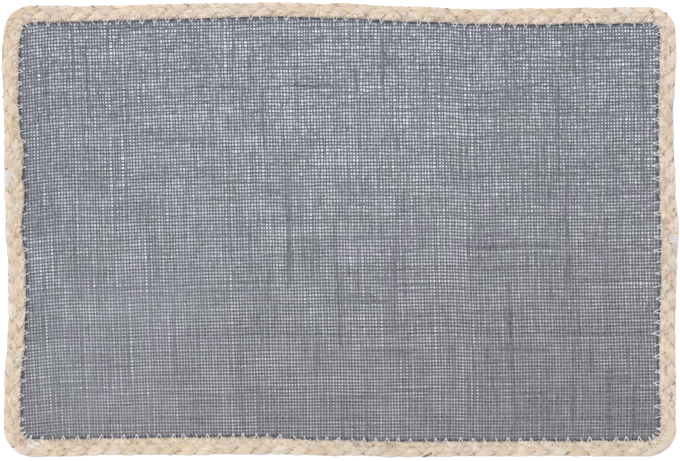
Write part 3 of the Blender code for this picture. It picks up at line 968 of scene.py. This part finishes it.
# Where the two lengths meet, their strands' ends are folded over the joint and tucked in. A broad leaf
# wraps a corner, and a few brown slivers and knots stand out.
# (place, start and end distance from it, start and end across, half width, how far it stands up, leaf tone,
# brownness)
TUCKED_ENDS = (
    (0, 9.5, 25.5, -0.50, -0.62, 2.9, 0.35, 0.44, 0.06),
    (0, -16.5, -1.5, -0.62, -0.50, 2.9, 0.45, 0.30, 0),
    (0, -8.0, 11.0, -0.28, -0.18, 2.7, 0.55, 0.22, 0.05),
    (0, -11.0, 6.0, 0.45, 0.60, 2.6, 0.25, 0.08, 0),
    (0, 3.0, 15.0, 0.10, 0.35, 2.2, 0.35, 0.70, 0),
    (UPPER_LENGTH, -12.0, 5.0, -0.55, -0.45, 2.7, 0.40, 0.60, 0),
    (UPPER_LENGTH, -4.0, 13.0, -0.20, -0.50, 2.5, 0.50, 0.45, 0),
    (UPPER_LENGTH, -15.0, 4.0, 0.62, 0.50, 2.4, 0.30, 0.24, 0),
    (run_starts[5], -7.0, 25.0, 0.30, 0.02, 4.2, 0.45, 0.02, 0),
    (RIGHT_AT, 89.0, 98.0, -0.20, -0.34, 0.8, 0.30, 0.77, 0.45),
    (BOTTOM_AT, -62.8, -54.6, 0.34, 1.02, 0.7, 0.25, 0.77, 1.0),
    (RIGHT_AT, -15.0, -11.2, 0.78, 0.42, 0.55, 0.25, 0.77, 0.75),
    (run_starts[1], -9.0, 11.0, -0.72, -0.92, 2.3, 0.30, 0.60, 0),
    (run_starts[1], 9.0, 33.0, -0.86, -0.78, 1.9, 0.35, 0.44, 0.1),
    (RIGHT_AT, 4.0, 6.5, -0.40, -0.20, 0.6, 0.45, 0.77, 0.7),
    (RIGHT_AT, 8.0, 10.0, 0.05, 0.15, 0.5, 0.50, 0.77, 0.8),
)
PAD_STATIONS = 22
PAD_THICKNESS = 1.5
PAD_DIP = 0.9                     # of its ends, into the plait
PAD_FOLD_DEPTH = 0.13
reach = np.linspace(0, 1, PAD_STATIONS)
at, start, end, first, last, half_width, stands_up, leaf, brown = np.array(TUCKED_ENDS).T[:, :, None]
pad_distance = (at + start) * (1 - reach) + (at + end) * reach
plan = border_point(pad_distance, first * (1 - reach) + last * reach)
round_end = np.sqrt(np.clip(1 - np.abs(2 * reach - 1) ** 3.0, 0.02, 1))
thinness = np.minimum(half_width / 2, 1.0)
height = settled(surface_height(plan, 2.4), 4)
height += (stands_up + PAD_DIP) * round_end - PAD_DIP - PAD_THICKNESS / 2 * thinness
folds = husk_folds(len(TUCKED_ENDS))[:, None]
pad_rise = PAD_THICKNESS / 2 * round_end[:, None] * flat_rise + PAD_FOLD_DEPTH * folds * flat_rise
brown_and_shade = brown[..., None] + 0.22 * np.maximum(-folds - 0.25, 0) + 0.25 * (1 - round_end)[:, None]
section = ((half_width * round_end)[..., None] * flat_across, thinness[..., None] * pad_rise)
points = lay_tubes(
    "tucked_ends", plan, height, section, husk, "husk_plait",
    tones=husk_tones(leaf, 0.55, brown_and_shade), round_it=15.0)
for leaf_points in points:
    raise_grid(filled_grid, leaf_points)


def slanted(distance, length, slant, reach):
    """Distances along the border and shifts outward of short lines, from their middles and slants."""
    along = distance[:, None] + reach * (length * np.cos(slant))[:, None]
    return along, reach * (length * np.sin(slant))[:, None]


# Torn husk stands off the plait as fine fibres, most of them along its inner edge. The real ones are finer;
# these are drawn at a third of a millimetre, so that they show at all.
FIBRES = 4600
FIBRE_SHARES = (0.45, 0.42, 0.13)  # along the inner edge, on the inner half and anywhere
FIBRE_WIDTH = 0.36
FIBRE_STATIONS = 4
fibre_distance = rng.uniform(0, PERIMETER, FIBRES)
fibre_kind = rng.choice(3, FIBRES, p=FIBRE_SHARES)
fibre_across = np.choose(fibre_kind, [
    rng.uniform(-1.08, -0.82, FIBRES), rng.uniform(-0.98, -0.2, FIBRES), rng.uniform(-0.6, 1.0, FIBRES)])
fibre_length = rng.uniform(1.4, 4.2, FIBRES)
fibre_slant = rng.normal(0, 12, FIBRES) + np.choose(fibre_kind, [22, 50, 30]) * rng.choice([-1, 1], FIBRES)
fibre_dark = (rng.uniform(0, 1, FIBRES) < 0.34) & (fibre_kind > 0)
reach = np.linspace(-0.5, 0.5, FIBRE_STATIONS)
along, outward = slanted(fibre_distance, fibre_length, np.radians(fibre_slant), reach)

FAN_FIBRES = 36
FAN_ANGLE = 84                    # degrees to either side
in_fans = (FAN_FIBRES * len(FANS), 1)
fan_distance, fan_radius, fan_pale = np.repeat(FANS, FAN_FIBRES, axis=0).T[:, :, None]
fan_angle = np.radians(rng.uniform(-FAN_ANGLE, FAN_ANGLE, in_fans))
near, far = rng.uniform(0.1, 0.45, in_fans), rng.uniform(0.75, 1.0, in_fans)
radius = fan_radius * (near * (0.5 - reach) + far * (0.5 + reach))
along = np.concatenate([along, fan_distance + radius * np.sin(fan_angle)])
outward = np.concatenate([outward, radius * np.cos(fan_angle)])
fibre_across = np.concatenate([fibre_across, np.full(len(fan_radius), -1.0)])
fan_dark = rng.uniform(0, 1, len(fan_radius)) < 0.35
fibre_crease = np.concatenate([np.where(fibre_dark, 0.3, 0.0), np.where(fan_dark, 0.25, 0.0)])
fibre_pale = np.where(fibre_dark, 0.0, np.choose(fibre_kind, [0.7, 0.5, 0.2]))
fibre_pale = np.concatenate([fibre_pale, np.where(fan_dark, 0.2, fan_pale[:, 0])])
fibres = len(fibre_across)

plan = border_point(along, fibre_across[:, None] + np.zeros_like(along), outward)
arch = 0.35 * (0.25 - reach ** 2) * 4
height = surface_height(plan, 2.3) + 0.05 + arch * rng.uniform(0.2, 1, (fibres, 1))
radius = FIBRE_WIDTH / 2 * rng.uniform(0.6, 1.1, (fibres, 1)) * np.array([1.0, 1.0, 1.0, 0.45])
lay_tubes(
    "husk_fibres", plan, height, oval(3, radius, radius), husk, "husk_plait", columns=20, round_it=0.6,
    tones=husk_tones(
        rng.uniform(0, 0.78, fibres), rng.normal(0.75, 0.25, fibres), fibre_crease, fibre_pale))

# Brown bits of leaf edge sit where the strands dive: flat slivers in the deepest of many tried places.
SLIVERS = 150
SLIVER_STATIONS = 7
SLIVER_SIDES = 6
TRIED_PLACES = 5000
KEPT_OF_DEEPEST = 6               # one of so many
tried_distance = rng.uniform(0, PERIMETER, TRIED_PLACES)
tried_across = rng.uniform(-0.8, 0.95, TRIED_PLACES)
cells = grid_cells(border_point(tried_distance, tried_across))
deepest = np.argsort(filled_grid[cells] - mean_grid[cells])[:KEPT_OF_DEEPEST * SLIVERS:KEPT_OF_DEEPEST]
sliver_length = rng.uniform(1.6, 4.0, SLIVERS)
sliver_slant = np.radians(rng.normal(0, 10, SLIVERS) + rng.choice([-34, 34], SLIVERS))
reach = np.linspace(-0.5, 0.5, SLIVER_STATIONS)
along, outward = slanted(tried_distance[deepest], sliver_length, sliver_slant, reach)
plan = border_point(along, tried_across[deepest][:, None] + np.zeros_like(along), outward)
height = surface_height(plan, 2.0) + 0.02
taper = np.sqrt(1.02 - (2 * reach) ** 2)
section = oval(SLIVER_SIDES, rng.uniform(0.22, 0.5, (SLIVERS, 1)) * taper, 0.25 * taper)
lay_tubes(
    "husk_slivers", plan, height, section, husk, "husk_plait", columns=4, round_it=2.0,
    tones=husk_tones(0.77, 0.5, rng.uniform(0.35, 0.95, SLIVERS)))

# ----------------------------------------------------------------------
# The seam. White thread in a zigzag holds the plait's inner edge to the cloth. From above it shows as small
# Vs, whose points are in the cloth and whose feet pierce the husk.

STITCH_INSIDE = (2.2, 3.2)        # of the points, from the plait's inner edge
STITCH_FOOT = (0.3, 1.2)          # of the feet, on the plait
STITCH_SPREAD = (1.0, 2.2)        # from the point's line to each foot
STITCH_SINK = 0.7                 # of both its ends
SINGLE_LEGS = 0.3                 # the share of stitches that show one leg of the V only
LONGER_RIGHT = 2.2                # how much further inside the longest ones reach on the right side
THREAD_WIDTH = 0.6
THREAD_STATIONS = 9
THREAD_SIDES = 6

# White polyester sewing thread: smooth and slightly shiny, with its plies' twist showing as faint slanting
# bands. At the joints it has been handled, and is a little soiled.
thread, tree = new_material("white_polyester_thread")
along_map = tube_place(tree)
twist = add_node(tree, "ShaderNodeTexWave", [
    ("Vector", mapped(tree, along_map, (1.0, 1.0, 1.0), turn=0.7)), ("Scale", 0.55), ("Distortion", 0.6),
    ("Detail", 1.0)]).outputs["Fac"]
finish_material(tree, [
    ("Base Color", mix(tree, point_value(tree, "worn"), mix(tree, twist, "e6e5ea", "f8f8f8"), "dccfca")),
    ("Roughness", 0.5),
    ("IOR", 1.5),
    ("Sheen Weight", 0.1),
    ("Normal", relief(tree, twist, 0.5, 0.00008)),
])


def lay_threads(name, plan, height, worn, **mesh_settings):
    """Round threads along the paths, each worn and soiled by its own share."""
    radius = np.full(height.shape, THREAD_WIDTH / 2)
    lay_tubes(
        name, plan, height, oval(THREAD_SIDES, radius, radius), thread, "sewing_thread",
        tones=[("worn", worn)], round_it=1.6, **mesh_settings)


stitch_at = (np.arange(STITCHES) + rng.uniform(-0.13, 0.13, STITCHES)) * STITCH_PITCH
leg_at = np.repeat(stitch_at, 2)
leg_way = np.tile([-1.0, 1.0], STITCHES)
single = np.repeat(rng.uniform(0, 1, STITCHES) < SINGLE_LEGS, 2) & (leg_way > 0)
spread = leg_way * rng.uniform(*STITCH_SPREAD, len(leg_at))
on_right = (stitch_at > run_starts[4]) & (stitch_at < run_starts[5])
inside = rng.uniform(*STITCH_INSIDE, STITCHES) + on_right * rng.uniform(-0.2, LONGER_RIGHT, STITCHES)
points_at = border_point(leg_at, -1.0, -np.repeat(inside, 2))
feet_at = border_point(leg_at + spread, -1.0, rng.uniform(*STITCH_FOOT, len(leg_at)))
reach = np.linspace(0, 1, THREAD_STATIONS)[None, :, None]
plan = (feet_at[:, None] * (1 - reach) + points_at[:, None] * reach)[~single]
height = settled(surface_height(plan, 2.15) + 0.12, 2)
height[:, [0, -1]] -= STITCH_SINK
lay_threads("seam_stitches", plan, height, 0.0, columns=8)

# At both joints the same thread is wound over the plait's outer half, and one end was left loose.
# (start and end distance, turns, outer and inner across, how soiled)
WRAPS = (
    (-5.7, 4.6, 20, 1.0, 0.38, 0.45),
    (7.0, 11.0, 3, 1.0, 0.50, 0.8),
    (UPPER_LENGTH - 6.4, UPPER_LENGTH - 1.6, 11, 1.0, -0.1, 0.6),
    (UPPER_LENGTH - 0.8, UPPER_LENGTH + 7.6, 11, 1.0, 0.15, 0.85),
)
WRAP_STATIONS = 16
reach = np.linspace(0, 1, WRAP_STATIONS)
wrap_plans = []
wrap_heights = []
wrap_worn = []
for start, end, turns, outer, inner, soiled in WRAPS:
    at = np.linspace(start, end, turns)[:, None] + rng.normal(0, 0.08, (turns, 1))
    lean = rng.normal(0.5, 0.15, (turns, 1))
    inner_ends = inner + rng.uniform(-0.12, 0.12, (turns, 1))
    plan = border_point(at + lean * reach, outer + (inner_ends - outer) * reach)
    height = settled(surface_height(plan, 1.6) + 0.16, 3)
    height[:, -1] -= 0.8
    height[:, 0] -= 0.9
    wrap_plans.append(plan)
    wrap_heights.append(height)
    wrap_worn += [soiled] * turns
LOOSE_END = np.array(((-220.7, 38.3), (-219.4, 33.0), (-217.0, 28.5), (-216.4, 24.0), (-214.7, 19.7)))
spread = np.linspace(0, len(LOOSE_END) - 1, WRAP_STATIONS)
loose_plan = [np.interp(spread, np.arange(len(LOOSE_END)), column) for column in LOOSE_END.T]
loose_plan = np.stack(loose_plan, -1)[None]
wrap_plans.append(loose_plan)
wrap_heights.append(surface_height(loose_plan, 1.6) + 0.3)
lay_threads("joint_wraps", np.concatenate(wrap_plans), np.concatenate(wrap_heights), wrap_worn + [0.3])
